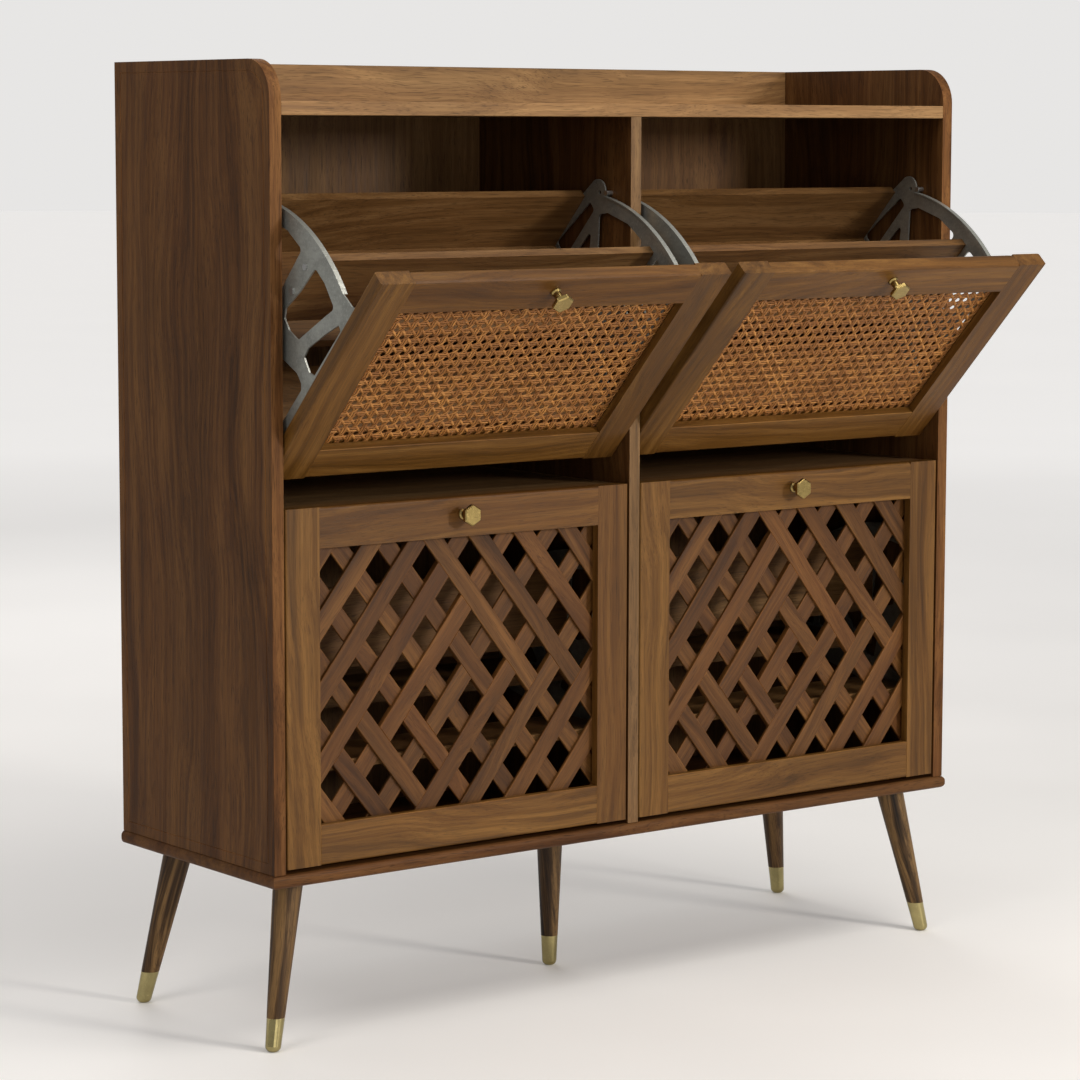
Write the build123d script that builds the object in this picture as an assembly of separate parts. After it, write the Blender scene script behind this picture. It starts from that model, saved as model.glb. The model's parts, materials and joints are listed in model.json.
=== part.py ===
"""Shoe cabinet with four tip-out flaps: two columns, two rows, on five turned legs.

Millimetres. +X is right, -Y is the front, +Z is up. The origin is on the floor, under
the middle of the carcass. The upper flaps are modelled open on their stops, and the
lower flaps are modelled shut.
"""
import os
from math import cos, radians, sin, sqrt, tan

from build123d import *

# ---------------------------------------------------------------- carcass
width = 1000.0              # over the outer faces of the side panels
depth = 320.0               # front to back of the side panels
side_height = 882.0         # side panel, above the base board
panel = 15.0                # thickness of every carcass board
leg_height = 186.0          # floor to the underside of the base board
base_overhang = 3.0         # base board past the side panels and the front
base_round = 6.0            # rounded edge of the base board
corner_radius = 42.0        # front top corner of each side panel
shelf_drop = 45.0           # top of the side panels down to the top shelf
back_setback = 12.0         # rear edge of the sides to the back boards
back_panel_thickness = 5.0
lipping_inset = 12.0        # line of the edge lipping, in from the panel's outline
lipping_groove = 1.2        # width of that line
lipping_depth = 0.6

# ---------------------------------------------------------------- flaps
flap_thickness = 18.0
side_gap = 2.0              # flap edge to carcass, each side
sill_gap = 5.0              # base board to the lower flap
lower_flap_height = 395.0
row_gap = 38.0              # lower flap to the upper flap when both are shut
upper_flap_height = 305.0
open_angle = 44.0
stile_width = 44.0
rail_width = 45.0
rebate_width = 8.0
rebate_depth = 8.0
flap_edge_round = 2.5
divider_gap = 4.0           # back of a shut lower flap to the fixed divider shelf
divider_drop = 1.0          # top of a lower flap down to the top of the divider shelf
divider_clearance = 4.0     # stop pins of the lower flaps to the divider shelf

# ---------------------------------------------------------------- infill
cane_thickness = 3.0
slat_width = 22.0
slat_thickness = 4.0        # two layers fill the rebate
slat_pitch = 63.0           # between slats of one direction, measured level
slat_angle = 51.3           # from level
rising_offset = 14.0        # middle rising slat from the panel's centre, measured level
falling_offset = 24.5       # middle falling slat from the panel's centre, measured level

# ---------------------------------------------------------------- side brackets
plate = 2.0                 # bracket sheet
plate_inset = 3.0           # flap edge to the bracket's outer face
rim_width = 6.0             # folded rim along the bracket's bow
rim_thickness = 1.6
foot_width = 14.0           # folded foot screwed to the flap
bracket_head_room = 55.0    # top of the upper flap to the top of its bracket
bracket_rear_room = 31.0    # rear of a shut bracket to the back boards
pivot_setback = 7.5         # pivot axis behind the flap
pivot_rise = 32.5           # pivot axis above the bracket's datum
lower_bracket_lift = 60.0   # bracket datum above the bottom edge of a lower flap
head_radius = 14.0
head_share = (0.869, 0.82)  # head centre, as shares of the bracket's reach and height
head_hole_radius = 2.2
pivot_boss_radius = 11.0
foot_screw_shares = (0.28, 0.52, 0.90)

# ---------------------------------------------------------------- pins and screws
pivot_pin_diameter = 8.0
pivot_clearance = 0.075     # radial
pin_head_diameter = 13.0
pin_head_thickness = 2.0
running_gap = 0.4           # pin head to bracket, and stop pin to bracket
stop_pin_diameter = 6.0
stop_pin_reach = 2.0        # past the bracket's inner face
stop_bearing = 142.6        # direction from the bracket's head to the stop pin, flap shut
pin_embed = 6.0             # length of a pin inside the board
screw_shank = 3.5
screw_head = 7.0
screw_head_thickness = 2.0
screw_length = 12.0
screw_head_round = 0.9

# ---------------------------------------------------------------- trays
tray_board = 10.0
tray_wall_height = 92.0
floor_gap = 0.2             # bracket foot to the front floor
wall_shares = ((0.37, 0.912), (0.92, 0.736))    # top front corner of each wall on the bracket
floor_shares = (0.16, 0.37)                     # height of each floor on the bracket
wall_screw_shares = (0.45, 0.85)
floor_screw_shares = (0.35, 0.77)

# ---------------------------------------------------------------- knobs
knob_length = 20.0
knob_across_flats = 21.5
knob_face_thickness = 6.0
knob_neck_diameter = 9.0
knob_foot_diameter = 12.0
knob_foot_height = 1.5
knob_bevel = 1.2
knob_corner_round = 2.0
knob_rise = 3.0             # knob above the middle of the top rail
knob_screw_diameter = 4.0
knob_screw_reach = 10.0     # length of the screw inside the knob

# ---------------------------------------------------------------- legs
foot_x = 490.0              # feet of the splayed legs, on the floor
foot_y = 138.0
splay_x = 38.0              # outward lean over the leg's height
splay_y = 24.0
leg_top_diameter = 34.0
leg_tip_diameter = 17.0
ferrule_height = 37.0
ferrule_wall = 1.0
ferrule_sole = 5.0          # floor to the end of the wood
ferrule_round = 6.0
leg_plate_size = 56.0
leg_plate_thickness = 2.5
leg_screw_inset = 8.0
leg_plate_round = 6.0

# ---------------------------------------------------------------- worked out
front = -depth / 2
rear = depth / 2
base_bottom = leg_height
base_top = leg_height + panel
side_top = base_top + side_height
shelf_top = side_top - shelf_drop
shelf_bottom = shelf_top - panel
inner_x = width / 2 - panel
back_face = rear - back_setback - panel
bay_width = inner_x - panel / 2
bay_centre = (inner_x + panel / 2) / 2
flap_width = bay_width - 2 * side_gap
infill_front = flap_thickness - rebate_depth
lower_sill = base_top + sill_gap
upper_sill = lower_sill + lower_flap_height + row_gap
divider_lowest = lower_sill + lower_flap_height - divider_drop
bracket_height = upper_flap_height - bracket_head_room
bracket_reach = back_face - front - bracket_rear_room - flap_thickness
plate_gap = side_gap + plate_inset

COLUMNS = {"left": -bay_centre, "right": bay_centre}
ROWS = {
    "upper": dict(sill=upper_sill, height=upper_flap_height, lift=0.0, turn=open_angle),
    "lower": dict(sill=lower_sill, height=lower_flap_height, lift=lower_bracket_lift, turn=0.0),
}


def block(x0, x1, y0, y1, z0, z1):
    """Box between two corners."""
    size = (x1 - x0, y1 - y0, z1 - z0)
    centre = ((x0 + x1) / 2, (y0 + y1) / 2, (z0 + z1) / 2)
    return Pos(*centre) * Box(*size)


def rod(x0, x1, y, z, diameter):
    """Cylinder along X."""
    return Pos((x0 + x1) / 2, y, z) * Rot(0, 90, 0) * Cylinder(diameter / 2, abs(x1 - x0))


def bolt(y0, y1, x, z, diameter):
    """Cylinder along Y."""
    return Pos(x, (y0 + y1) / 2, z) * Rot(90, 0, 0) * Cylinder(diameter / 2, abs(y1 - y0))


def side_slab(outline, x0, x1):
    """Extrude a face drawn as (y, z) from x0 to x1."""
    low = min(x0, x1)
    placed = Plane(origin=(low, 0, 0), x_dir=(0, 1, 0), z_dir=(1, 0, 0)) * outline
    return extrude(placed, abs(x1 - x0))


def save(shape, node):
    export_step(shape, f"parts/{node}.step")


def together(solids):
    """Separate solids that share one node."""
    return Compound(children=list(solids))


# ================================================================ carcass boards
def side_outline(inset):
    """Side panel's outline as (y, z), drawn in from its edges by inset."""
    radius = corner_radius - inset
    y0 = front + inset
    y1 = rear - inset
    z0 = base_top + inset
    z1 = side_top - inset
    start = (y0, z0)
    edges = Line(start, (y1, z0)) + Line((y1, z0), (y1, z1)) + Line((y1, z1), (y0 + radius, z1))
    edges += RadiusArc((y0 + radius, z1), (y0, z1 - radius), -radius)
    edges += Line((y0, z1 - radius), start)
    return make_face(edges)


def side_panel(sign):
    outer = sign * width / 2
    panel_solid = side_slab(side_outline(0), outer, sign * inner_x)
    line = side_outline(lipping_inset) - side_outline(lipping_inset + lipping_groove)
    panel_solid -= side_slab(line, outer, outer - sign * lipping_depth)
    return panel_solid


def base_board():
    board = block(-width / 2 - base_overhang, width / 2 + base_overhang,
                  front - base_overhang, rear, base_bottom, base_top)
    rounded = board.edges().filter_by(Axis.X).group_by(Axis.Y)[0]
    rounded += board.edges().filter_by(Axis.Y)
    return fillet(rounded, base_round)


# ================================================================ flap geometry
def flap_place(column, row):
    """Centre x, front face y, bottom edge z and height of a shut flap."""
    return COLUMNS[column], front, ROWS[row]["sill"], ROWS[row]["height"]


def bracket_datum(row):
    """Height of a shut flap's bracket datum above the floor."""
    return ROWS[row]["sill"] + ROWS[row]["lift"]


def pivot_point(row):
    return front + flap_thickness + pivot_setback, bracket_datum(row) + pivot_rise


def swing(shape, row):
    """Turn a piece drawn on a shut flap to the row's rest position."""
    y, z = pivot_point(row)
    return shape.rotate(Axis((0, y, z), (1, 0, 0)), ROWS[row]["turn"])


def bracket_spot(reach, rise):
    """Point on the bracket as (behind the flap, above the datum), from shares of its size."""
    return reach * bracket_reach, rise * bracket_height


# ---------------------------------------------------------------- frame
def flap_frame(column, row):
    """Two stiles and two rails, rebated at the back round the window."""
    x, y, z, height = flap_place(column, row)
    half = flap_width / 2
    window = block(x - half + stile_width - rebate_width, x + half - stile_width + rebate_width,
                   y + infill_front, y + flap_thickness,
                   z + rail_width - rebate_width, z + height - rail_width + rebate_width)
    left = block(x - half, x - half + stile_width, y, y + flap_thickness, z, z + height)
    right = block(x + half - stile_width, x + half, y, y + flap_thickness, z, z + height)
    bottom = block(x - half + stile_width, x + half - stile_width, y, y + flap_thickness,
                   z, z + rail_width)
    top = block(x - half + stile_width, x + half - stile_width, y, y + flap_thickness,
                z + height - rail_width, z + height)
    left = fillet(left.edges().filter_by(Axis.Z).group_by(Axis.X)[0], flap_edge_round)
    right = fillet(right.edges().filter_by(Axis.Z).group_by(Axis.X)[-1], flap_edge_round)
    members = [member - window for member in (left, right, bottom, top)]
    holes = [bolt(y + flap_thickness - screw_length, y + flap_thickness, hx, hz, screw_shank)
             for hx, hz in foot_screw_spots(column, row)]
    members[0] = members[0] - holes[:3]
    members[1] = members[1] - holes[3:]
    members[3] = members[3] - bolt(y, y + flap_thickness, x, knob_z(row), knob_screw_diameter)
    return together(members)


# ---------------------------------------------------------------- lattice
def rising_in_front(rising, falling):
    """Which slat lies in front where two cross: the order turns round the panel's middle."""
    if rising < 0:
        return 2 * rising <= falling <= 0
    return falling <= rising - 1 and (rising > 0 or falling == -1)


def slat_bar(line_x, slope, start, end, y0, y1):
    """Bar on a slat's centre line, between two heights measured from the panel's middle."""
    run = tan(radians(slat_angle)) * slope
    length = (end - start) / sin(radians(slat_angle))
    middle = (start + end) / 2
    bar = Box(length, y1 - y0, slat_width)
    turned = Rot(0, -slope * slat_angle, 0) * bar
    return Pos(line_x + middle / run, (y0 + y1) / 2, middle) * turned


def slat_stretches(crossings, in_front, limit):
    """Where a slat runs in one layer: stretches between the crossings at which it changes layer."""
    stops = [rise for rise, _, front_here in crossings if front_here != in_front]
    bounds = [-limit] + stops + [limit]
    kept = []
    for low, high in zip(bounds, bounds[1:]):
        if any(low < rise < high for rise, _, front_here in crossings if front_here == in_front):
            kept.append((low, high))
    return kept


def slat(line_x, slope, crossings, limit):
    """One slat, cut to the edge of each crossing slat where it changes layer."""
    bars = []
    for in_front in (True, False):
        y0 = 0.0 if in_front else slat_thickness
        y1 = y0 + slat_thickness
        for low, high in slat_stretches(crossings, in_front, limit):
            bar = slat_bar(line_x, slope, low, high, y0, y1)
            for rise, other_x, front_here in crossings:
                if front_here != in_front and rise in (low, high):
                    bar -= slat_bar(other_x, -slope, rise - 2 * slat_width, rise + 2 * slat_width, y0, y1)
            bars.append(bar)
    if not bars:
        return None
    return bars[0].fuse(*bars[1:]) if len(bars) > 1 else bars[0]


def lattice(column, row):
    x, y, z, height = flap_place(column, row)
    seat_x = flap_width / 2 - stile_width + rebate_width
    seat_z = height / 2 - rail_width + rebate_width
    middle_z = z + height / 2
    reach = seat_x + seat_z / tan(radians(slat_angle)) + slat_width
    limit = seat_z + slat_width
    count = int(reach / slat_pitch) + 1
    numbers = range(-count, count + 1)
    seat = block(-seat_x, seat_x, 0, 2 * slat_thickness, -seat_z, seat_z)
    solids = []
    for slope, own_offset, other_offset in ((1, rising_offset, falling_offset),
                                            (-1, falling_offset, rising_offset)):
        for number in numbers:
            line_x = own_offset + slat_pitch * number
            if abs(line_x) > reach:
                continue
            crossings = []
            for other in numbers:
                other_x = other_offset + slat_pitch * other
                rise = slope * (other_x - line_x) * tan(radians(slat_angle)) / 2
                if abs(rise) > limit:
                    continue
                rising, falling = (number, other) if slope > 0 else (other, number)
                in_front = rising_in_front(rising, falling) == (slope > 0)
                crossings.append((rise, other_x, in_front))
            strip = slat(line_x, slope, sorted(crossings), limit)
            if strip is not None:
                solids += [s for s in (strip & seat).solids() if s.volume > slat_width ** 2]
    return together([Pos(x, y + infill_front, middle_z) * s for s in solids])


# ---------------------------------------------------------------- cane
def cane_panel(column, row):
    x, y, z, height = flap_place(column, row)
    seat_x = flap_width / 2 - stile_width + rebate_width
    y0 = y + infill_front
    return block(x - seat_x, x + seat_x, y0, y0 + cane_thickness,
                 z + rail_width - rebate_width, z + height - rail_width + rebate_width)


def cane_bead(column, row):
    """Four strips that hold the cane in its rebate."""
    x, y, z, height = flap_place(column, row)
    x1 = flap_width / 2 - stile_width + rebate_width
    x0 = x1 - rebate_width
    z1 = z + height - rail_width + rebate_width
    z0 = z + rail_width - rebate_width
    y0 = y + infill_front + cane_thickness
    y1 = y + flap_thickness
    strips = [
        block(x - x1, x - x0, y0, y1, z0, z1),
        block(x + x0, x + x1, y0, y1, z0, z1),
        block(x - x0, x + x0, y0, y1, z0, z0 + rebate_width),
        block(x - x0, x + x0, y0, y1, z1 - rebate_width, z1),
    ]
    return together(strips)


# ---------------------------------------------------------------- side bracket
def flat_face(points):
    return make_face(Polyline(*points, close=True))


def softened(points, radius):
    """Cut-out with rounded corners."""
    face = flat_face(points)
    return fillet(face.vertices(), radius)


def bracket_outline():
    """Bracket blank as (behind the flap, above the datum), with its cut-outs."""
    spot = bracket_spot
    head = spot(*head_share)
    bow = bow_line()
    rear_foot = spot(0.985, 0.335)
    heel = (pivot_setback, pivot_rise - pivot_boss_radius)
    edge = Line((0, heel[1]), (0, bracket_height)) + Line((0, bracket_height), spot(0.025, 0.984))
    edge += Line(spot(0.025, 0.984), bow @ 0)
    edge += bow
    edge += Line(bow @ 1, (head[0] + head_radius, head[1]))
    edge += Line((head[0] + head_radius, head[1]), (rear_foot[0] + 6, rear_foot[1]))
    edge += Line((rear_foot[0] + 6, rear_foot[1]), (rear_foot[0], rear_foot[1] - 8))
    edge += Line((rear_foot[0], rear_foot[1] - 8), heel)
    edge += Line(heel, (0, heel[1]))
    blank = make_face(edge)
    blank += Pos(*head) * Circle(head_radius)
    blank += Pos(pivot_setback, pivot_rise) * Circle(pivot_boss_radius)
    blank -= Pos(-bracket_reach, bracket_height / 2) * Rectangle(2 * bracket_reach, 3 * bracket_height)
    for cut in bracket_cutouts():
        blank -= cut
    blank -= Pos(pivot_setback, pivot_rise) * Circle(pivot_pin_diameter / 2 + pivot_clearance)
    blank -= Pos(head[0] - 4, head[1] + 2) * Circle(head_hole_radius)
    return blank


def bracket_cutouts():
    spot = bracket_spot
    bow_gap = softened([spot(0.463, 0.89), spot(0.60, 0.87), spot(0.745, 0.80), spot(0.785, 0.75),
                        spot(0.475, 0.40), spot(0.452, 0.46)], 5)
    kite_gap = softened([spot(0.335, 0.905), spot(0.24, 0.91), spot(0.11, 0.885), spot(0.135, 0.82),
                         spot(0.213, 0.588), spot(0.29, 0.568), spot(0.355, 0.58),
                         spot(0.376, 0.62), spot(0.348, 0.75)], 5)
    sliver_gap = softened([spot(0.04, 0.86), spot(0.085, 0.756), spot(0.135, 0.62),
                           spot(0.13, 0.568), spot(0.055, 0.55), spot(0.018, 0.57),
                           spot(0.012, 0.85)], 1.5)
    heel_gap = softened([spot(0.045, 0.45), spot(0.066, 0.472), spot(0.12, 0.48), spot(0.25, 0.44),
                         spot(0.31, 0.30), spot(0.12, 0.215), spot(0.05, 0.24)], 4)
    lower_gap = softened([spot(0.36, 0.53), spot(0.43, 0.33), spot(0.40, 0.315), spot(0.355, 0.30),
                          spot(0.315, 0.47)], 3)
    fork_gap = softened([spot(0.775, 0.66), spot(0.785, 0.42), spot(0.60, 0.42)], 3)
    rear_gap = softened([spot(0.825, 0.74), spot(0.875, 0.745), spot(0.925, 0.43),
                         spot(0.825, 0.42)], 4)
    return [bow_gap, kite_gap, sliver_gap, heel_gap, lower_gap, fork_gap, rear_gap]


def bow_line():
    """Outer bow of the bracket, from the flap to the head."""
    head = bracket_spot(*head_share)
    end = (head[0] - head_radius, head[1] + 0.45 * head_radius)
    return ThreePointArc(bracket_spot(0.11, 0.976), bracket_spot(0.50, 0.975), end)


def bow_rim():
    """Rim folded along the outer bow, as (behind the flap, above the datum)."""
    bow = bow_line()
    inner = offset(bow, rim_thickness, side=Side.RIGHT, closed=False)
    inner = inner.edges().filter_by(GeomType.CIRCLE).sort_by(Edge.length)[-1]
    ring = bow + inner + Line(bow @ 0, inner @ 0) + Line(bow @ 1, inner @ 1)
    return make_face(ring)


def plate_x(column, side):
    """Outer face of a bracket, and the direction towards the middle of the flap."""
    sign = -1 if side == "left" else 1
    return COLUMNS[column] + sign * (flap_width / 2 - plate_inset), -sign


def foot_screw_spots(column, row):
    datum = bracket_datum(row)
    spots = []
    for side in ("left", "right"):
        outer, inward = plate_x(column, side)
        for rise in foot_screw_shares:
            spots.append((outer + inward * (plate + foot_width) / 2, datum + rise * bracket_height))
    return spots


def on_flap(face, column, row, x0, x1):
    """Extrude a bracket face, drawn behind the flap and above the datum, from x0 to x1."""
    datum = bracket_datum(row)
    return side_slab(Pos(front + flap_thickness, datum) * face, x0, x1)


def bracket(column, row, side):
    outer, inward = plate_x(column, side)
    datum = bracket_datum(row)
    web = on_flap(BLANK, column, row, outer, outer + inward * plate)
    rim = on_flap(RIM, column, row, outer, outer + inward * rim_width)
    low = datum + pivot_rise + pivot_boss_radius
    y0 = front + flap_thickness
    ends = sorted((outer, outer + inward * foot_width))
    foot = block(*ends, y0, y0 + rim_thickness, low, datum + bracket_height)
    body = web + rim + foot
    for x, z in foot_screw_spots(column, row):
        if ends[0] < x < ends[1]:
            body -= bolt(y0, y0 + rim_thickness, x, z, screw_shank)
    for y, z in tray_screw_spots(row):
        body -= rod(outer - 1, outer + 1 + plate, y, z, screw_shank) if inward > 0 else \
            rod(outer - 1 - plate, outer + 1, y, z, screw_shank)
    return body


# ---------------------------------------------------------------- trays
def tray_boards():
    """Boards as (behind, above) boxes: front wall and rear wall, then the two floors."""
    wall_y, wall_z = bracket_spot(*wall_shares[0])
    rear_y, rear_z = bracket_spot(*wall_shares[1])
    return {
        "walls": [(wall_y, wall_y + tray_board, wall_z - tray_wall_height, wall_z),
                  (rear_y, rear_y + tray_board, rear_z - tray_wall_height, rear_z)],
        "floors": [(rim_thickness + floor_gap, wall_y + tray_board, *floor_span(floor_shares[0])),
                   (wall_y, rear_y, *floor_span(floor_shares[1]))],
    }


def floor_span(rise):
    """Underside and top of a floor, which stays above the heads of the pivot pins."""
    low = max(rise * bracket_height, pivot_rise + pin_head_diameter / 2 + floor_gap)
    return low, low + tray_board


def tray_screw_spots(row):
    datum = bracket_datum(row)
    spots = []
    for y0, y1, z0, z1 in tray_boards()["walls"]:
        for share in wall_screw_shares:
            spots.append(((y0 + y1) / 2, z0 + share * (z1 - z0)))
    for (y0, y1, z0, z1), share in zip(tray_boards()["floors"], floor_screw_shares):
        spots.append((y0 + share * (y1 - y0), (z0 + z1) / 2))
    return [(front + flap_thickness + y, datum + z) for y, z in spots]


def tray(column, row, kind):
    x = COLUMNS[column]
    datum = bracket_datum(row)
    half = flap_width / 2 - plate_inset - plate
    y_back = front + flap_thickness
    boards = [block(x - half, x + half, y_back + y0, y_back + y1, datum + z0, datum + z1)
              for y0, y1, z0, z1 in tray_boards()[kind]]
    bored = []
    for board in boards:
        for y, z in tray_screw_spots(row):
            for sign in (-1, 1):
                end = x + sign * half
                board -= rod(end, end - sign * screw_length, y, z, screw_shank)
        bored.append(board)
    return together(bored)


# ---------------------------------------------------------------- screws
def flap_screws(column, row):
    y_back = front + flap_thickness + rim_thickness
    solids = []
    for x, z in foot_screw_spots(column, row):
        head = bolt(y_back, y_back + screw_head_thickness, x, z, screw_head)
        head = fillet(head.edges().group_by(Axis.Y)[-1], screw_head_round)
        solids.append(head + bolt(y_back - rim_thickness - screw_length, y_back, x, z, screw_shank))
    for side in ("left", "right"):
        outer, inward = plate_x(column, side)
        for y, z in tray_screw_spots(row):
            head = rod(outer, outer - inward * screw_head_thickness, y, z, screw_head)
            shank = rod(outer, outer + inward * (plate + screw_length), y, z, screw_shank)
            solids.append(head + shank)
    x = COLUMNS[column]
    z = knob_z(row)
    y1 = front + flap_thickness
    head = bolt(y1, y1 + screw_head_thickness, x, z, screw_head)
    solids.append(head + bolt(front - knob_screw_reach, y1, x, z, knob_screw_diameter))
    return together(solids)


# ---------------------------------------------------------------- knob
def knob_z(row):
    return ROWS[row]["sill"] + ROWS[row]["height"] - rail_width / 2 + knob_rise


def knob(column, row):
    """Round foot, slim stem and a six-sided bevelled face, drawn pointing to +Z."""
    foot = knob_foot_diameter / 2
    stem = knob_neck_diameter / 2
    shoulder = knob_length - knob_face_thickness
    slope_end = knob_foot_height + foot - stem
    profile = Polyline((0, 0), (foot, 0), (foot, knob_foot_height), (stem, slope_end),
                       (stem, shoulder), (0, shoulder), close=True)
    turned = revolve(Plane.XZ * make_face(profile), Axis.Z)
    hexagon = RegularPolygon(knob_across_flats / sqrt(3), 6, rotation=30)
    face = Pos(0, 0, shoulder) * extrude(hexagon, knob_face_thickness)
    face = fillet(face.edges().filter_by(Axis.Z), knob_corner_round)
    face = chamfer(face.edges().group_by(Axis.Z)[-1], knob_bevel)
    face = chamfer(face.edges().group_by(Axis.Z)[0], knob_bevel)
    solid = turned + face
    solid -= Pos(0, 0, knob_screw_reach / 2) * Cylinder(knob_screw_diameter / 2, knob_screw_reach)
    return Pos(COLUMNS[column], front, knob_z(row)) * Rot(90, 0, 0) * solid


# ================================================================ pins in the carcass
def pin_rows():
    """Wall face x and direction into the bay, for each bracket of each column."""
    walls = []
    for column in COLUMNS:
        for side in ("left", "right"):
            outer, inward = plate_x(column, side)
            walls.append((outer - inward * plate_gap, inward))
    return walls


def stop_point(row):
    """Stop pin axis as (y, z): beside the bracket's head when the flap is open."""
    head_y, head_z = bracket_spot(*head_share)
    away = head_radius + stop_pin_diameter / 2 + running_gap
    bearing = radians(stop_bearing)
    y = head_y + away * cos(bearing) - pivot_setback
    z = head_z + away * sin(bearing) - pivot_rise
    turn = radians(open_angle)
    pivot_y, pivot_z = pivot_point(row)
    return pivot_y + y * cos(turn) - z * sin(turn), pivot_z + y * sin(turn) + z * cos(turn)


def divider_height():
    """Top of the divider shelf: level with the lower flaps, or higher to clear their stop pins."""
    over_pins = stop_point("lower")[1] + stop_pin_diameter / 2 + divider_clearance + panel
    return max(divider_lowest, over_pins)


def pivot_pins():
    pins = []
    for face, inward in pin_rows():
        for row in ROWS:
            y, z = pivot_point(row)
            reach = plate_gap + plate + running_gap
            shank = rod(face - inward * pin_embed, face + inward * reach, y, z, pivot_pin_diameter)
            head = rod(face + inward * reach, face + inward * (reach + pin_head_thickness), y, z,
                       pin_head_diameter)
            pins.append(shank + head)
    return together(pins)


def stop_pins():
    pins = []
    for face, inward in pin_rows():
        for row in ROWS:
            y, z = stop_point(row)
            pins.append(rod(face - inward * pin_embed, face + inward * (plate_gap + plate + stop_pin_reach),
                            y, z, stop_pin_diameter))
    return together(pins)


def drilled(board, x_faces):
    """Blind holes for the pins in a side panel or the partition."""
    for face, inward in pin_rows():
        if not any(abs(face - x) < 0.01 for x in x_faces):
            continue
        for row in ROWS:
            for (y, z), diameter in ((pivot_point(row), pivot_pin_diameter),
                                     (stop_point(row), stop_pin_diameter)):
                board -= rod(face - inward * pin_embed, face, y, z, diameter)
    return board


# ================================================================ legs
def leg_axis(sx, sy):
    """Foot point and top point of a leg's axis."""
    foot = Vector(sx * foot_x, sy * foot_y, 0)
    top = Vector(sx * (foot_x - splay_x * abs(sx)), sy * (foot_y - splay_y * abs(sy)), leg_height)
    return foot, top


def leg_blank(sx, sy, grow=0.0, start=-20.0, end=260.0):
    """Tapered round bar along a leg's axis, grown by a wall thickness."""
    foot, top = leg_axis(sx, sy)
    along = top - foot
    taper = (leg_top_diameter - leg_tip_diameter) / 2 / along.length
    radius0 = leg_tip_diameter / 2 + taper * start + grow
    radius1 = leg_tip_diameter / 2 + taper * end + grow
    base = Plane(origin=foot + along.normalized() * start, z_dir=along)
    cone = Cone(radius0, radius1, end - start, align=(Align.CENTER, Align.CENTER, Align.MIN))
    return base * cone


def slab(z0, z1):
    span = 2 * (width + depth)
    return block(-span, span, -span, span, z0, z1)


def leg(sx, sy):
    """Leg with its lower end turned down to fit inside the ferrule."""
    top = leg_height - leg_plate_thickness
    upper = leg_blank(sx, sy) & slab(ferrule_height, top)
    lower = leg_blank(sx, sy, -ferrule_wall) & slab(ferrule_sole, ferrule_height)
    return upper + lower


def ferrule(sx, sy):
    shell = leg_blank(sx, sy) & slab(0, ferrule_height)
    shell = fillet(shell.edges().group_by(Axis.Z)[0], ferrule_round)
    return shell - (leg_blank(sx, sy, -ferrule_wall) & slab(ferrule_sole, ferrule_height))


def leg_plate(sx, sy):
    foot, top = leg_axis(sx, sy)
    half = leg_plate_size / 2
    sheet = block(top.X - half, top.X + half, top.Y - half, top.Y + half,
                  leg_height - leg_plate_thickness, leg_height)
    sheet = fillet(sheet.edges().filter_by(Axis.Z), leg_plate_round)
    for screw_x, screw_y in leg_screw_spots(sx, sy):
        sheet -= Pos(screw_x, screw_y, leg_height) * Cylinder(screw_shank / 2, 4 * leg_plate_thickness)
    return sheet


def leg_screw_spots(sx, sy):
    foot, top = leg_axis(sx, sy)
    reach = leg_plate_size / 2 - leg_screw_inset
    return [(top.X + i * reach, top.Y + j * reach) for i in (-1, 1) for j in (-1, 1)]


def leg_screws():
    solids = []
    for sx, sy in LEGS.values():
        for x, y in leg_screw_spots(sx, sy):
            z = leg_height - leg_plate_thickness
            head = Pos(x, y, z - screw_head_thickness / 2) * Cylinder(screw_head / 2, screw_head_thickness)
            length = leg_plate_thickness + screw_length
            solids.append(head + Pos(x, y, z + length / 2) * Cylinder(screw_shank / 2, length))
    return together(solids)


LEGS = {
    "front_left": (-1, -1),
    "front_right": (1, -1),
    "rear_left": (-1, 1),
    "rear_right": (1, 1),
    "centre": (0, 0),
}
BLANK = bracket_outline()
RIM = bow_rim()


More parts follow.
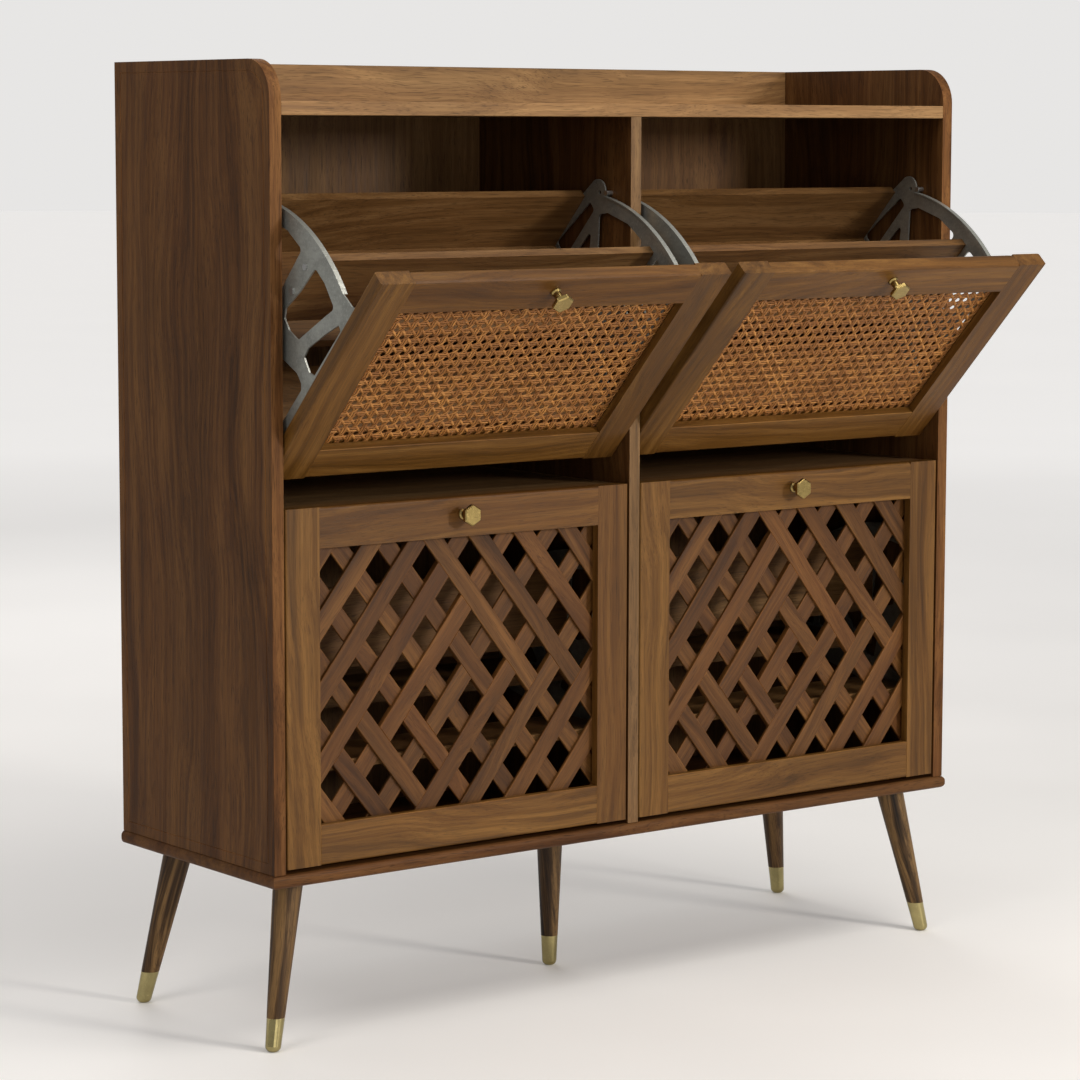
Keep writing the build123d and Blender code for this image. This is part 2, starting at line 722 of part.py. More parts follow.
# ================================================================ write the nodes
def main():
    os.makedirs("parts", exist_ok=True)
    save(drilled(side_panel(-1), [-inner_x]), "side_panel_left")
    save(drilled(side_panel(1), [inner_x]), "side_panel_right")
    partition = block(-panel / 2, panel / 2, front, back_face, base_top, shelf_bottom)
    save(drilled(partition, [-panel / 2, panel / 2]), "partition")
    save(block(-inner_x, inner_x, front, back_face, shelf_bottom, shelf_top), "top_shelf")
    save(block(-inner_x, inner_x, back_face, back_face + panel, shelf_bottom, side_top), "back_upstand")
    save(block(-inner_x, inner_x, back_face, back_face + back_panel_thickness, base_top,
               shelf_bottom), "back_panel")
    board = base_board()
    for sx, sy in LEGS.values():
        for x, y in leg_screw_spots(sx, sy):
            board -= Pos(x, y, base_bottom + screw_length / 2) * Cylinder(screw_shank / 2, screw_length)
    save(board, "base_board")
    for column, sign in (("left", -1), ("right", 1)):
        ends = sorted((sign * panel / 2, sign * inner_x))
        divider = block(*ends, front + flap_thickness + divider_gap, back_face,
                        divider_height() - panel, divider_height())
        save(divider, f"divider_shelf_{column}")
    for name, (sx, sy) in LEGS.items():
        save(leg(sx, sy), f"leg_{name}")
    save(together([ferrule(*signs) for signs in LEGS.values()]), "leg_ferrules")
    save(together([leg_plate(*signs) for signs in LEGS.values()]), "leg_plates")
    save(leg_screws(), "leg_screws")
    save(pivot_pins(), "pivot_pins")
    save(stop_pins(), "stop_pins")
    for row in ROWS:
        for column in COLUMNS:
            flap = f"{row}_{column}"
            save(swing(flap_frame(column, row), row), f"{flap}_frame")
            if row == "upper":
                save(swing(cane_panel(column, row), row), f"{flap}_cane")
                save(swing(cane_bead(column, row), row), f"{flap}_cane_bead")
            else:
                save(swing(lattice(column, row), row), f"{flap}_lattice")
            for side in ("left", "right"):
                save(swing(bracket(column, row, side), row), f"{flap}_bracket_{side}")
            save(swing(tray(column, row, "walls"), row), f"{flap}_tray_walls")
            save(swing(tray(column, row, "floors"), row), f"{flap}_tray_floors")
            save(swing(flap_screws(column, row), row), f"{flap}_screws")
            save(swing(knob(column, row), row), f"{flap}_knob")


main()
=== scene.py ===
"""Looks for the shoe cabinet: boards, slats, cane, metal, and the photo's view of it."""
import json
from math import atan2, ceil, cos, pi, radians, sin, tau

import bmesh
import bpy
import numpy as np
from mathutils import Matrix, Vector

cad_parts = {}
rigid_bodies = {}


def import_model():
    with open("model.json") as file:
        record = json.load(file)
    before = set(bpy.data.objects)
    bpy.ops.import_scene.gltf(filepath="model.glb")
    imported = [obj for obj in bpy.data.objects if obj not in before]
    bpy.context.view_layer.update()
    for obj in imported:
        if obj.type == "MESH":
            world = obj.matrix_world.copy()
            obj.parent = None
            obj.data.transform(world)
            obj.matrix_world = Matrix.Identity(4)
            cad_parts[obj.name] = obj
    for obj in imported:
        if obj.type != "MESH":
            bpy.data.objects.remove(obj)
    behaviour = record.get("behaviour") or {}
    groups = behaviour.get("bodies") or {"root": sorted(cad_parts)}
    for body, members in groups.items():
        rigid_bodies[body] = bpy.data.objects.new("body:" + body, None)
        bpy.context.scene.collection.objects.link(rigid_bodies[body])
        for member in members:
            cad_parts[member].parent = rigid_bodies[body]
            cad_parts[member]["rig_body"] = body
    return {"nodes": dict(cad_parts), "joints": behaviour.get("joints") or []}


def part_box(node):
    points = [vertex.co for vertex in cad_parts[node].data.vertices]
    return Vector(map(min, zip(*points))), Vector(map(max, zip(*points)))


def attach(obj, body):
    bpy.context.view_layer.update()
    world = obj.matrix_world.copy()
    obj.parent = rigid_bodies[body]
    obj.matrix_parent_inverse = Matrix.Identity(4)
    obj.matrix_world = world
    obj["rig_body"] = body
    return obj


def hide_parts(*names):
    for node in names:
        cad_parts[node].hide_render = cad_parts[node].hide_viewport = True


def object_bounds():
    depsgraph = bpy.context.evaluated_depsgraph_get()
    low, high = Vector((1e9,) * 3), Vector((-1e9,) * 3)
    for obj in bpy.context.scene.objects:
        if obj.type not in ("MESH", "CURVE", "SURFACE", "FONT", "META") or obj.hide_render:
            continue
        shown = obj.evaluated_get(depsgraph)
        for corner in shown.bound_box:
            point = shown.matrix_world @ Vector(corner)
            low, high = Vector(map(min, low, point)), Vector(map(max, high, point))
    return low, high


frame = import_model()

cad_low, cad_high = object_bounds()

# ---------------------------------------------------------------- sizes, metres
WELD = 1e-6
FLAT_ANGLE = radians(0.3)   # faces that lie closer than this are one face
EDGE_ANGLE = radians(35)    # a sharper turn than this is an edge of the board
TOUCHING = radians(0.1)     # faces of two solids that lie on each other
BOARD_EDGE = 0.0007         # rubbed edge of a board, lighter with wear and a painted highlight
SLAT_EDGE = 0.0009
FLAP_ROUND = 0.0030         # rounded outline of a flap
OUTLINE_TOLERANCE = 0.0001
LEG_LEAN_X = 0.19           # grain of a splayed leg, radians off the upright
LEG_LEAN_Y = 0.13
CANE_PITCH = 0.0127         # half-inch webbing
CANE_STRAND = 0.0032        # upright and level strands
CANE_DIAGONAL = 0.0034
CANE_PAIR = 0.00175         # half the distance between the two strands of a pair
CANE_THICKNESS = 0.0005
CANE_WAVE = 0.0005          # upright and level strands pass in front and behind by this
CANE_DIAGONAL_WAVE = 0.0008
CANE_STEPS = 4              # points along a strand in each pitch
CANE_MARGIN = 0.0008        # strands end this far inside the sheet's edge
FLOOR_RADIUS = 40.0
FLOOR_SIDES = 96

# ---------------------------------------------------------------- view of the photo
LENS = 116.06
SENSOR = 36.0
YAW = 0.6530
PITCH = 0.1170
ROLL = 0.0020
CAMERA_PLACE = (-2.5287, -3.2855, 1.0070)
CLIP_END = 100.0


# ================================================================ shader helpers
class Look:
    """A material being built, with short calls for its nodes."""

    def __init__(self, name, **constants):
        self.material = bpy.data.materials.new(name)
        self.material.use_nodes = True
        self.tree = self.material.node_tree
        self.shader = self.tree.nodes["Principled BSDF"]
        for socket, value in constants.items():
            self.shader.inputs[socket.replace("_", " ")].default_value = value

    def node(self, kind, inputs=None, **settings):
        made = self.tree.nodes.new("ShaderNode" + kind)
        for key, value in settings.items():
            setattr(made, key, value)
        for key, value in (inputs or {}).items():
            self.put(made.inputs[key], value)
        return made

    def put(self, socket, value):
        if isinstance(value, bpy.types.NodeSocket):
            self.tree.links.new(value, socket)
        else:
            socket.default_value = value

    def place(self, source, scale=(1, 1, 1), turn=(0, 0, 0), move=(0, 0, 0)):
        made = self.node("Mapping", {"Vector": source, "Scale": scale, "Rotation": turn,
                                     "Location": move})
        return made.outputs["Vector"]

    def noise(self, vector, scale, detail=3.0, rough=0.5, twist=0.0):
        made = self.node("TexNoise", {"Vector": vector, "Scale": scale, "Detail": detail,
                                      "Roughness": rough, "Distortion": twist})
        return made.outputs["Fac"]

    def spread(self, value, low, high, new_low=0.0, new_high=1.0):
        made = self.node("MapRange", {"Value": value, "From Min": low, "From Max": high,
                                      "To Min": new_low, "To Max": new_high})
        return made.outputs["Result"]

    def maths(self, operation, a, b):
        made = self.node("Math", {0: a, 1: b}, operation=operation)
        return made.outputs[0]

    def blend(self, share, a, b, how="MIX"):
        """Mix of two colours, which are sockets 6 and 7 of the node, with the result at 2."""
        made = self.node("Mix", data_type="RGBA", blend_type=how)
        self.put(made.inputs[0], share)
        self.put(made.inputs[6], a)
        self.put(made.inputs[7], b)
        return made.outputs[2]

    def tones(self, value, stops):
        made = self.node("ValToRGB", {"Fac": value})
        marks = made.color_ramp.elements
        while len(marks) < len(stops):
            marks.new(0.5)
        for mark, (where, colour) in zip(marks, stops):
            mark.position = where
            mark.color = (*colour, 1.0)
        return made.outputs["Color"]

    def dimmed(self, colour, value):
        """Colour multiplied by a plain value."""
        grey = self.node("CombineColor", {"Red": value, "Green": value, "Blue": value})
        return self.blend(1.0, colour, grey.outputs["Color"], "MULTIPLY")

    def moved(self, vector, **shifts):
        """Vector with its X, Y or Z moved by values."""
        shift = self.node("CombineXYZ", shifts).outputs["Vector"]
        made = self.node("VectorMath", {0: vector, 1: shift}, operation="ADD")
        return made.outputs["Vector"]

    def raised(self, height, strength, depth):
        made = self.node("Bump", {"Height": height, "Strength": strength, "Distance": depth})
        self.put(self.shader.inputs["Normal"], made.outputs["Normal"])

    def finish(self, colour, rough):
        self.put(self.shader.inputs["Base Color"], colour)
        self.put(self.shader.inputs["Roughness"], rough)
        return self.material


def shade(colour, factor):
    return tuple(min(1.0, channel * factor) for channel in colour)


# ================================================================ wood
def wood(name, dark, mid, light, rough=0.46, turn=(0, 0, 0), seed=0.0, figure=1.0, pores=1.0,
         bands=26.0, contrast=1.0, gloss=0.22, own_place=False):
    """Open-grained wood with its grain along local X once turned. own_place shifts each piece."""
    look = Look(name, Specular_IOR_Level=gloss)
    coords = look.node("TexCoord").outputs["Object"]
    along = look.place(coords, turn=turn, move=(seed, 0.37 * seed, 0.61 * seed))
    if own_place:
        lucky = look.node("ObjectInfo").outputs["Random"]
        along = look.moved(along, X=look.maths("MULTIPLY", lucky, 7.3),
                           Y=look.maths("MULTIPLY", lucky, 3.1), Z=look.maths("MULTIPLY", lucky, 5.7))
    bend = look.noise(look.place(along, scale=(2.2, 6.0, 6.0)), 1.0, 2.0, 0.5)
    swayed = look.moved(along, Y=look.spread(bend, 0.3, 0.7, -0.02, 0.02),
                        Z=look.spread(bend, 0.3, 0.7, -0.012, 0.012))
    broad = look.noise(look.place(swayed, scale=(0.9, bands, bands)), 1.0, 5.0, 0.62, 0.4 * figure)
    streak = look.noise(look.place(swayed, scale=(2.5, 150.0, 150.0)), 1.0, 4.0, 0.6)
    fibre = look.noise(look.place(along, scale=(14.0, 700.0, 700.0)), 1.0, 2.0, 0.6)
    grain = look.maths("ADD", look.maths("MULTIPLY", broad, 0.55), look.maths("MULTIPLY", streak, 0.45))
    centre, step = 0.48, 0.14 / contrast
    base = look.tones(grain, [(centre - step, dark), (centre, mid), (centre + step, light)])
    cloud = look.noise(look.place(along, scale=(0.7, 8.0, 8.0)), 1.0, 2.0)
    stain = look.noise(look.place(along, scale=(2.4, 6.5, 6.5)), 1.0, 3.0, 0.55)
    red, green, blue = mid
    ruddy = look.blend(look.spread(cloud, 0.38, 0.62, 0.0, 0.22), base,
                       (0.9 * red, 0.62 * green, 0.62 * blue, 1.0))
    pore = look.noise(look.place(swayed, scale=(38.0, 1250.0, 1250.0)), 1.0, 1.0, 0.4)
    pored = look.spread(pore, 0.58, 0.68, 0.0, 0.55 * pores)
    worn = look.blend(pored, ruddy, (*shade(dark, 0.45), 1.0))
    threads = look.maths("MULTIPLY", look.spread(fibre, 0.3, 0.7, 0.9, 1.1),
                        look.spread(stain, 0.35, 0.65, 0.84, 1.1))
    sheen = look.spread(streak, 0.3, 0.7, rough - 0.07, rough + 0.09)
    relief = look.maths("SUBTRACT", look.maths("MULTIPLY", fibre, 0.5), pored)
    look.raised(relief, 0.35, 0.0004)
    return look.finish(look.dimmed(worn, threads), sheen)


ALONG_Z = (0, radians(90), 0)
# darkest, middle and lightest tone of each kind of board
CARCASS = ((0.085, 0.044, 0.015), (0.160, 0.086, 0.032), (0.240, 0.140, 0.058))
SIDE = ((0.038, 0.0150, 0.0038), (0.084, 0.034, 0.0095), (0.137, 0.062, 0.0190))
FRONT = ((0.053, 0.0225, 0.0034), (0.111, 0.0475, 0.0080), (0.176, 0.083, 0.0175))
SLAT = ((0.040, 0.0150, 0.0030), (0.090, 0.0350, 0.0070), (0.155, 0.066, 0.0160))
INSIDE = ((0.060, 0.027, 0.0075), (0.135, 0.065, 0.0200), (0.215, 0.115, 0.042))
LEG = ((0.010, 0.0050, 0.0018), (0.064, 0.033, 0.0105), (0.190, 0.108, 0.040))


def board_looks(name, tones, **settings):
    """Material for a board's faces, and a lighter, duller one for its edges: partly rubbed wear, partly
    painted highlight.
    """
    edge = dict(settings, rough=settings.get("rough", 0.46) + 0.08)
    # edge tones are 1.4 times lighter: rubbed wear with a painted highlight
    rubbed_and_lit = [shade(tone, 1.4) for tone in tones]
    return (wood(name, *tones, own_place=True, **settings),
            wood(name + "_edge", *rubbed_and_lit, own_place=True, **edge))


# ================================================================ metals and cane
def metal(name, colour, rough, blotch, grain_scale, worn, metallic=1.0):
    """Metal with fine brushing, cloudy tarnish and small scratches."""
    look = Look(name, Metallic=metallic)
    coords = look.node("TexCoord").outputs["Object"]
    brushed = look.noise(look.place(coords, scale=grain_scale), 1.0, 3.0, 0.6)
    cloud = look.noise(coords, 38.0, 4.0, 0.6, 0.5)
    scratch = look.noise(look.place(coords, scale=(90.0, 1600.0, 300.0), turn=(0.4, 0.7, 0.3)),
                         1.0, 1.0)
    tarnish = look.spread(cloud, 0.4, 0.66, 0.0, blotch)
    toned = look.blend(tarnish, (*colour, 1.0), (*shade(colour, 0.45), 1.0))
    lit = look.blend(look.spread(scratch, 0.64, 0.7, 0.0, worn), toned, (*shade(colour, 1.5), 1.0))
    streaks = look.spread(brushed, 0.3, 0.7, 0.9, 1.08)
    look.raised(brushed, 0.12, 0.0002)
    return look.finish(look.dimmed(lit, streaks),
                       look.spread(cloud, 0.3, 0.7, rough - 0.06, rough + 0.12))


def cane_look():
    """Split cane: golden, glossy on its skin, with darker fibres and odd darker strands."""
    look = Look("cane_strand", Specular_IOR_Level=0.3)
    coords = look.node("TexCoord").outputs["Object"]
    island = look.node("NewGeometry").outputs["Random Per Island"]
    base = look.tones(island, [(0.0, (0.22, 0.085, 0.018)), (0.45, (0.32, 0.128, 0.028)),
                               (1.0, (0.49, 0.218, 0.055))])
    fibre = look.noise(coords, 900.0, 3.0, 0.6)
    patch = look.noise(coords, 45.0, 3.0, 0.6)
    aged = look.blend(look.spread(patch, 0.42, 0.68, 0.0, 0.45), base, (0.22, 0.085, 0.026, 1.0))
    threads = look.spread(fibre, 0.3, 0.7, 0.82, 1.14)
    look.raised(fibre, 0.3, 0.0002)
    return look.finish(look.dimmed(aged, threads), look.spread(patch, 0.3, 0.7, 0.42, 0.62))


# ================================================================ boards from the CAD solids
PLACE = {"cabinet": Matrix.Identity(4)}     # from the shut flap to where it stands
for joint in frame["joints"]:
    pivot = Vector(joint["pos_m"])
    opened = Matrix.Rotation(radians(-joint["range_deg"][0]), 4, "X")
    PLACE[joint["child"]] = Matrix.Translation(pivot) @ opened @ Matrix.Translation(-pivot)


def mate(edge, face, others, points, triangles):
    """The face met first when turning about an edge from one face through its own solid."""
    a, b, c = (Vector(points[corner]) for corner in triangles[face])
    normal = (b - a).cross(c - a).normalized()
    base = Vector(points[edge[0]])
    run = (Vector(points[edge[1]]) - base).normalized()

    def reach(number):
        third = next(corner for corner in triangles[number] if corner not in edge)
        arm = Vector(points[third]) - base
        return (arm - run * arm.dot(run)).normalized()

    start = reach(face)

    def turn(number):
        arm = reach(number)
        angle = atan2(-arm.dot(normal), arm.dot(start)) % tau
        return angle if angle > TOUCHING else tau

    return min(others, key=turn)


def solids_of(node):
    """Each closed solid of a CAD node, as welded points on the shut flap and triangles."""
    source = frame["nodes"][node]
    undo = PLACE[source["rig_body"]].inverted()
    points = np.array([undo @ v.co for v in source.data.vertices])
    cells = np.round(points / WELD).astype(np.int64)
    _, first, same = np.unique(cells, axis=0, return_index=True, return_inverse=True)
    same = same.reshape(-1)
    triangles = [tuple(int(same[i]) for i in face.vertices) for face in source.data.polygons]
    triangles = [t for t in triangles if len(set(t)) == 3]
    welded = points[first]
    sides = {}
    for number, (a, b, c) in enumerate(triangles):
        for pair in ((a, b), (b, c), (c, a)):
            ways = sides.setdefault(tuple(sorted(pair)), ([], []))
            ways[int(pair[0] < pair[1])].append(number)
    group = list(range(len(triangles)))

    def root(number):
        while group[number] != number:
            group[number] = group[group[number]]
            number = group[number]
        return number

    for edge, (down, up) in sides.items():
        for face in down:
            if up:
                group[root(face)] = root(mate(edge, face, up, welded, triangles))
    found = {}
    for number, triangle in enumerate(triangles):
        found.setdefault(root(number), []).append(triangle)
    return [(welded, faces) for _, faces in sorted(found.items())]


def grain_axes(points, grain):
    """Rotation whose X runs with the grain and whose Z is the board's thinnest way."""
    size = points.max(0) - points.min(0)
    thin = int(np.argmin(size))
    normal = np.eye(3)[thin]
    if grain == "long":
        run = np.eye(3)[int(np.argmax(size))]
    elif grain == "slant":
        middle = points - points.mean(0)
        middle[:, thin] = 0
        run = np.linalg.eigh(middle.T @ middle)[1][:, -1]
        run = run * np.sign(run[0])
    else:
        run = np.eye(3)["XYZ".index(grain)]
    across = np.cross(normal, run)
    return Matrix(np.stack([run, across, normal], axis=1).tolist())


def finish_edges(piece, edge, rounded):
    """Lighter edges on a board, part rubbed wear and part painted highlight, after a rounding of the
    edges that are marked for it.
    """
    if rounded:
        outline = piece.modifiers.new("rounded outline", "BEVEL")
        outline.width = rounded
        outline.segments = 4
        outline.limit_method = "WEIGHT"
    # bevel faces take slot 1, the lighter edge wood: rubbed wear with a painted highlight
    bevel = piece.modifiers.new("rubbed edges", "BEVEL")
    bevel.width = edge
    bevel.segments = 2
    bevel.limit_method = "ANGLE"
    bevel.angle_limit = EDGE_ANGLE
    bevel.material = 1
    normals = piece.modifiers.new("flat faces", "WEIGHTED_NORMAL")
    normals.keep_sharp = True


def mark_outline(mesh, to_flap, low, high):
    """Mark the edges on a flap's outline for rounding."""
    weights = mesh.attributes.new("bevel_weight_edge", "FLOAT", "EDGE").data
    sharp = mesh.attributes["sharp_edge"].data
    for edge in mesh.edges:
        a, b = (to_flap @ mesh.vertices[corner].co for corner in edge.vertices)
        sides = sum(max(abs(a[axis] - end[axis]), abs(b[axis] - end[axis])) < OUTLINE_TOLERANCE
                    for axis in (0, 2) for end in (low, high))
        through = abs((b - a).normalized().y) > 0.5
        if sides > int(through) and sharp[edge.index].value:
            weights[edge.index].value = 1.0


def boards(node, looks, grain="long", edge=BOARD_EDGE, lipped_with_highlight=False, rounded=0.0):
    """Rebuild a wooden CAD node as one piece for each board, with its own grain and edge lipping; the
    lipping takes the lighter edge wood, which also carries a painted highlight.
    """
    body = frame["nodes"][node]["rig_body"]
    solids = solids_of(node)
    low, high = solids[0][0].min(0), solids[0][0].max(0)
    for number, (welded, triangles) in enumerate(solids):
        used = sorted({corner for triangle in triangles for corner in triangle})
        points = welded[used]
        order = {corner: i for i, corner in enumerate(used)}
        centre = Vector((points.max(0) + points.min(0)) / 2)
        axes = grain_axes(points, grain)
        local = (points - np.array(centre)) @ np.array(axes)
        work = bmesh.new()
        corners = [work.verts.new(p) for p in local]
        for triangle in triangles:
            work.faces.new([corners[order[i]] for i in triangle])
        work.normal_update()
        bmesh.ops.dissolve_limit(work, angle_limit=FLAT_ANGLE, verts=work.verts, edges=work.edges)
        bmesh.ops.recalc_face_normals(work, faces=work.faces)
        mesh = bpy.data.meshes.new(f"{node}_{number + 1}")
        work.to_mesh(mesh)
        work.free()
        mesh.shade_smooth()
        mesh.set_sharp_from_angle(angle=EDGE_ANGLE)
        for look in looks:
            mesh.materials.append(look)
        # edge faces take slot 1, the lighter edge wood: lipping and wear with a painted highlight
        if lipped_with_highlight:
            for face in mesh.polygons:
                face.material_index = int(abs(face.normal.z) < 0.5)
        if rounded:
            to_flap = Matrix.Translation(centre) @ axes.to_4x4()
            mark_outline(mesh, to_flap, low, high)
        piece = bpy.data.objects.new(f"{node}_board_{number + 1}", mesh)
        bpy.context.scene.collection.objects.link(piece)
        piece.matrix_world = PLACE[body] @ Matrix.Translation(centre) @ axes.to_4x4()
        finish_edges(piece, edge, rounded)
        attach(piece, body)
        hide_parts(node)


# ================================================================ woven cane
def ribbon(path, across, width, points, faces):
    """Add one strand: a lens-shaped strip that follows path, with across as its flat side."""
    start = len(points)
    rise = Vector((0, CANE_THICKNESS / 2, 0))
    for spot in path:
        side = across * width / 2
        points.extend([spot - side, spot - rise, spot + side, spot + rise])
    for step in range(len(path) - 1):
        a = start + 4 * step
        for corner in range(4):
            after = (corner + 1) % 4
            faces.append((a + corner, a + after, a + 4 + after, a + 4 + corner))
    end = start + 4 * (len(path) - 1)
    faces.append((start + 3, start + 2, start + 1, start))
    faces.append((end, end + 1, end + 2, end + 3))


def clipped(start, run, low, high):
    """Range of travel along run from start that stays between two corners."""
    first, last = -10.0, 10.0
    for axis in (0, 1):
        if abs(run[axis]) < WELD:
            continue
        ends = sorted(((low[axis] - start[axis]) / run[axis], (high[axis] - start[axis]) / run[axis]))
        first, last = max(first, ends[0]), min(last, ends[1])
    return first, last


def cane(node, body):
    """Six-way woven cane webbing that fills the sheet's place in the rebate."""
    undo = PLACE[body].inverted()
    corners = np.array([undo @ v.co for v in frame["nodes"][node].data.vertices])
    low, high = corners.min(0), corners.max(0)
    centre = Vector((low + high) / 2)
    half_x, half_z = (high[0] - low[0]) / 2, (high[2] - low[2]) / 2
    points, faces = [], []

    def strand(start, run, width, wave):
        """One strand through start along run, in the sheet's own plane."""
        reach = (half_x - CANE_MARGIN, half_z - CANE_MARGIN)
        first, last = clipped(start, run, (-reach[0], -reach[1]), reach)
        length = last - first
        if length < CANE_PITCH / 2:
            return
        steps = ceil(length / CANE_PITCH * CANE_STEPS)
        across = Vector((-run[1], 0, run[0])).normalized()
        path = []
        for step in range(steps + 1):
            t = first + length * step / steps
            x, z = start[0] + run[0] * t, start[1] + run[1] * t
            path.append(Vector((x, wave(x, z), z)))
        ribbon(path, across, width, points, faces)

    columns = int(half_x / CANE_PITCH) + 1
    rows = int(half_z / CANE_PITCH) + 1
    for i in range(-columns, columns + 1):
        for side in (-CANE_PAIR, CANE_PAIR):
            if abs(i * CANE_PITCH + side) + CANE_STRAND / 2 < half_x - CANE_MARGIN:
                strand((i * CANE_PITCH + side, 0), (0, 1), CANE_STRAND,
                       lambda x, z, i=i: -CANE_WAVE * cos(pi * (z / CANE_PITCH + i)))
    for j in range(-rows, rows + 1):
        for side in (-CANE_PAIR, CANE_PAIR):
            if abs(j * CANE_PITCH + side) + CANE_STRAND / 2 < half_z - CANE_MARGIN:
                strand((0, j * CANE_PITCH + side), (1, 0), CANE_STRAND,
                       lambda x, z, j=j: CANE_WAVE * cos(pi * (x / CANE_PITCH + j)))
    slant = 0.5 ** 0.5
    for k in range(-columns - rows, columns + rows + 1):
        offset = (k + 0.5) * CANE_PITCH
        for sign in (1, -1):
            strand((offset, 0), (slant, sign * slant), CANE_DIAGONAL,
                   lambda x, z, sign=sign: -sign * CANE_DIAGONAL_WAVE * cos(2 * pi * x / CANE_PITCH))
    mesh = bpy.data.meshes.new(node + "_weave")
    mesh.from_pydata(points, [], faces)
    mesh.validate()
    mesh.shade_smooth()
    mesh.materials.append(CANE)
    piece = bpy.data.objects.new(node + "_weave", mesh)
    bpy.context.scene.collection.objects.link(piece)
    piece.matrix_world = PLACE[body] @ Matrix.Translation(centre)
    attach(piece, body)
    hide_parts(node)


# ================================================================ dressing the cabinet
def dress(node, look):
    mesh = frame["nodes"][node].data
    mesh.materials.clear()
    mesh.materials.append(look)


SIDE_LOOKS = board_looks("walnut_side", SIDE, rough=0.5, figure=1.3, contrast=1.2, gloss=0.12)
CARCASS_LOOKS = board_looks("walnut_carcass", CARCASS, rough=0.48)
FRONT_LOOKS = board_looks("walnut_front", FRONT, rough=0.44, pores=0.7, bands=62.0)
SLAT_LOOKS = board_looks("walnut_slat", SLAT, rough=0.46, pores=0.8)
TRAY_LOOKS = board_looks("walnut_tray", INSIDE, rough=0.5)
CANE = cane_look()
BRASS = metal("satin_brass", (0.38, 0.28, 0.105), 0.26, 0.25, (300.0, 300.0, 300.0), 0.5)
POLISHED = metal("polished_brass", (0.42, 0.355, 0.165), 0.12, 0.25, (60.0, 60.0, 60.0), 0.4)
STEEL = metal("zinc_steel", (0.52, 0.53, 0.53), 0.36, 0.3, (500.0, 120.0, 120.0), 0.5)
PLATE = metal("bracket_steel", (0.36, 0.37, 0.34), 0.42, 0.45, (500.0, 90.0, 260.0), 0.7, 0.75)

for side in ("left", "right"):
    boards(f"side_panel_{side}", SIDE_LOOKS, "Z", lipped_with_highlight=True)
    boards(f"divider_shelf_{side}", CARCASS_LOOKS, lipped_with_highlight=True)
boards("top_shelf", CARCASS_LOOKS, lipped_with_highlight=True)
# the upstand's faces take the lighter edge copy of the carcass wood, a painted light from above, and
# its edges take the plain wood
boards("back_upstand", CARCASS_LOOKS[::-1])
boards("base_board", SIDE_LOOKS)
boards("partition", (SIDE_LOOKS[0], CARCASS_LOOKS[0]), "Z", lipped_with_highlight=True)
dress("back_panel", wood("walnut_back", *INSIDE, rough=0.55, turn=ALONG_Z, seed=2.7))
for name in ("front_left", "front_right", "rear_left", "rear_right", "centre"):
    low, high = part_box("leg_" + name)
    middle = (low + high) / 2
    lean_x = LEG_LEAN_X * np.sign(round(middle.x, 2))
    lean_y = LEG_LEAN_Y * np.sign(round(middle.y, 2))
    turn = (Matrix.Rotation(radians(90), 3, "Y") @ Matrix.Rotation(lean_x, 3, "Y")
            @ Matrix.Rotation(-lean_y, 3, "X"))
    dress("leg_" + name, wood("walnut_leg_" + name, *LEG, rough=0.4, turn=turn.to_euler(),
                              seed=1.3 + middle.x, figure=1.6, bands=70.0, contrast=1.5))
for node, look in (("leg_ferrules", POLISHED), ("leg_plates", STEEL), ("leg_screws", STEEL),
                   ("pivot_pins", STEEL), ("stop_pins", STEEL)):
    dress(node, look)

for row in ("upper", "lower"):
    for column in ("left", "right"):
        flap = f"{row}_{column}"
        body = flap + "_flap"
        boards(flap + "_frame", FRONT_LOOKS, rounded=FLAP_ROUND)
        if row == "upper":
            cane(flap + "_cane", body)
            boards(flap + "_cane_bead", FRONT_LOOKS)
        else:
            boards(flap + "_lattice", SLAT_LOOKS, "slant", SLAT_EDGE)
        for part in ("tray_walls", "tray_floors"):
            boards(f"{flap}_{part}", TRAY_LOOKS)
        dress(flap + "_screws", STEEL)
        dress(flap + "_knob", BRASS)
        for side in ("left", "right"):
            dress(f"{flap}_bracket_{side}", PLATE)


# ================================================================ floor, light and camera
PALE = (0.80, 0.79, 0.78, 1.0)      # what the camera sees behind the cabinet
WARM = (1.0, 0.95, 0.88)
LIGHTS = (                          # name, place, target, width, power, colour
    ("key", (1.65, -4.1, 1.6), (0, 0, 0.7), 0.7, 88, WARM),
    ("top", (0.3, -1.2, 2.3), (0, 0, 0.9), 0.9, 20, WARM),
    ("fill", (-1.2, -4.2, 0.9), (0, 0, 0.6), 2.6, 26, (1.0, 0.96, 0.91)),
    ("side", (-2.8, -0.8, 3.0), (0, 0, 1.0), 1.4, 26, (1.0, 0.96, 0.92)),
    ("rim", (1.0, 3.4, 2.6), (0, 0, 0.7), 2.2, 30, (1.0, 0.97, 0.94)),
)
WORLD_LIGHT = (1.0, 0.98, 0.96, 1.0)
WORLD_STRENGTH = 0.42


def floor_look():
    """Pale matt floor whose far part glows for the camera, so that it meets the background."""
    look = Look("floor", Roughness=0.6, Emission_Color=PALE)
    coords = look.node("TexCoord").outputs["Object"]
    away = look.node("VectorMath", {0: coords}, operation="LENGTH").outputs["Value"]
    seen = look.node("LightPath").outputs["Is Camera Ray"]
    glow = look.maths("MULTIPLY", seen, look.spread(away, 0.5, 7.0, 0.10, 0.57))
    look.put(look.shader.inputs["Emission Strength"], glow)
    cloud = look.noise(coords, 1.5, 3.0)
    colour = look.tones(cloud, [(0.3, (0.84, 0.83, 0.82)), (0.7, (0.88, 0.87, 0.86))])
    return look.finish(colour, look.spread(cloud, 0.3, 0.7, 0.55, 0.65))


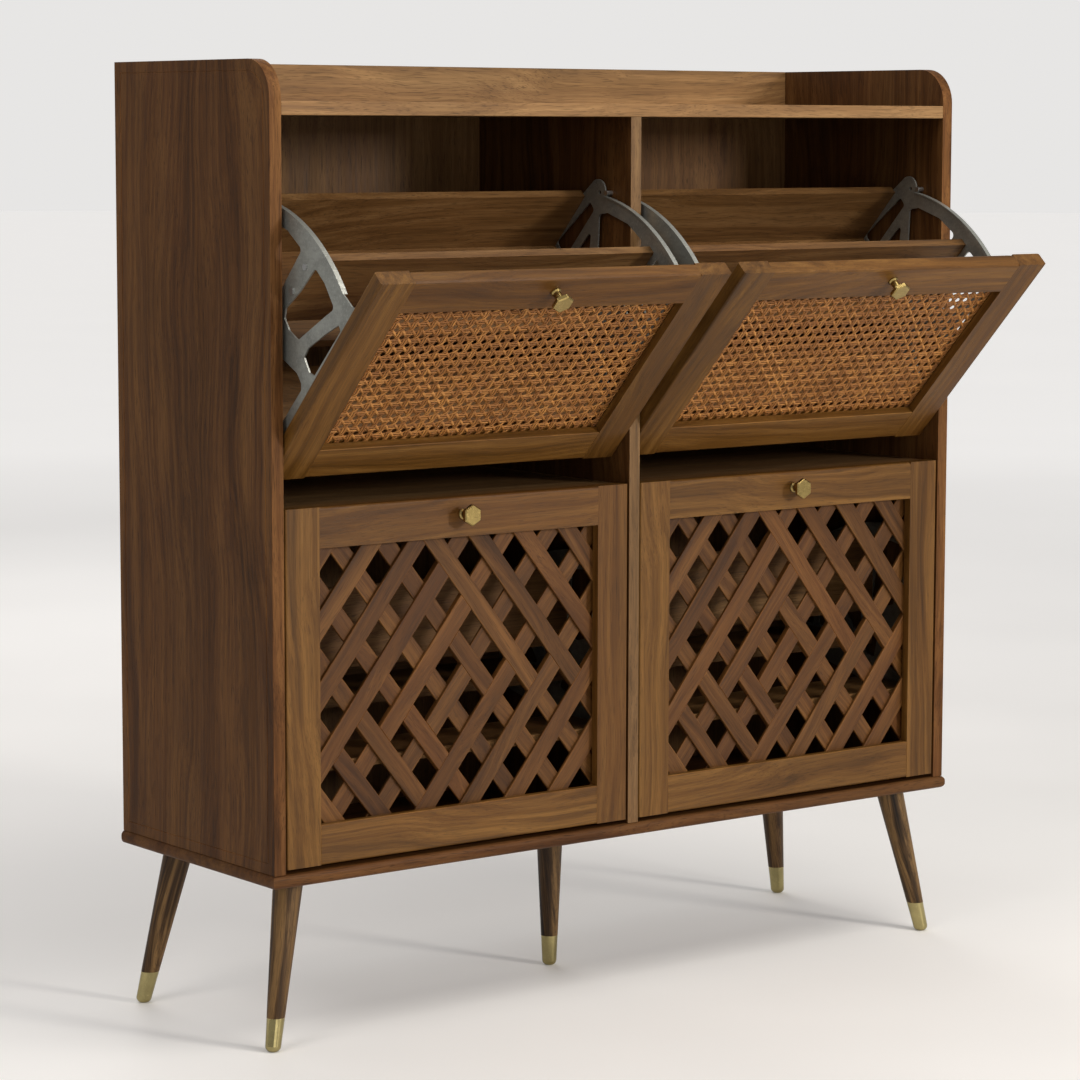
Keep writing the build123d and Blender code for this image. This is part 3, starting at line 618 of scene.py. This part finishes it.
def lay_floor():
    work = bmesh.new()
    bmesh.ops.create_circle(work, cap_ends=True, radius=FLOOR_RADIUS, segments=FLOOR_SIDES)
    ground = bpy.data.meshes.new("floor")
    work.to_mesh(ground)
    work.free()
    ground.materials.append(floor_look())
    floor = bpy.data.objects.new("floor", ground)
    floor.location = (0, 0, cad_low.z)
    bpy.context.scene.collection.objects.link(floor)


def area_light(name, place, target, width, power, colour):
    data = bpy.data.lights.new(name, "AREA")
    data.size = width
    data.energy = power
    data.color = colour
    lamp = bpy.data.objects.new(name, data)
    lamp.location = place
    lamp.rotation_euler = (Vector(target) - Vector(place)).to_track_quat("-Z", "Y").to_euler()
    bpy.context.scene.collection.objects.link(lamp)


def studio_world():
    """Soft light from all round, with a paler background for the camera's own rays."""
    world = bpy.data.worlds.new("studio")
    world.use_nodes = True
    sky = world.node_tree
    seen = sky.nodes["Background"]
    seen.inputs["Color"].default_value = PALE
    lighting = sky.nodes.new("ShaderNodeBackground")
    lighting.inputs["Color"].default_value = WORLD_LIGHT
    lighting.inputs["Strength"].default_value = WORLD_STRENGTH
    choice = sky.nodes.new("ShaderNodeMixShader")
    sky.links.new(sky.nodes.new("ShaderNodeLightPath").outputs["Is Camera Ray"], choice.inputs[0])
    sky.links.new(lighting.outputs[0], choice.inputs[1])
    sky.links.new(seen.outputs[0], choice.inputs[2])
    sky.links.new(choice.outputs[0], sky.nodes["World Output"].inputs["Surface"])
    bpy.context.scene.world = world
    bpy.context.scene.view_settings.view_transform = "Standard"


def photo_camera():
    camera = bpy.data.objects.new("camera", bpy.data.cameras.new("camera"))
    camera.data.lens = LENS
    camera.data.sensor_width = SENSOR
    camera.data.clip_end = CLIP_END
    gaze = Vector((sin(YAW) * cos(PITCH), cos(YAW) * cos(PITCH), -sin(PITCH)))
    facing = gaze.to_track_quat("-Z", "Y").to_matrix()
    camera.rotation_euler = (facing @ Matrix.Rotation(ROLL, 3, "Z")).to_euler()
    camera.location = CAMERA_PLACE
    bpy.context.scene.collection.objects.link(camera)
    bpy.context.scene.camera = camera


lay_floor()
for light in LIGHTS:
    area_light(*light)
studio_world()
photo_camera()
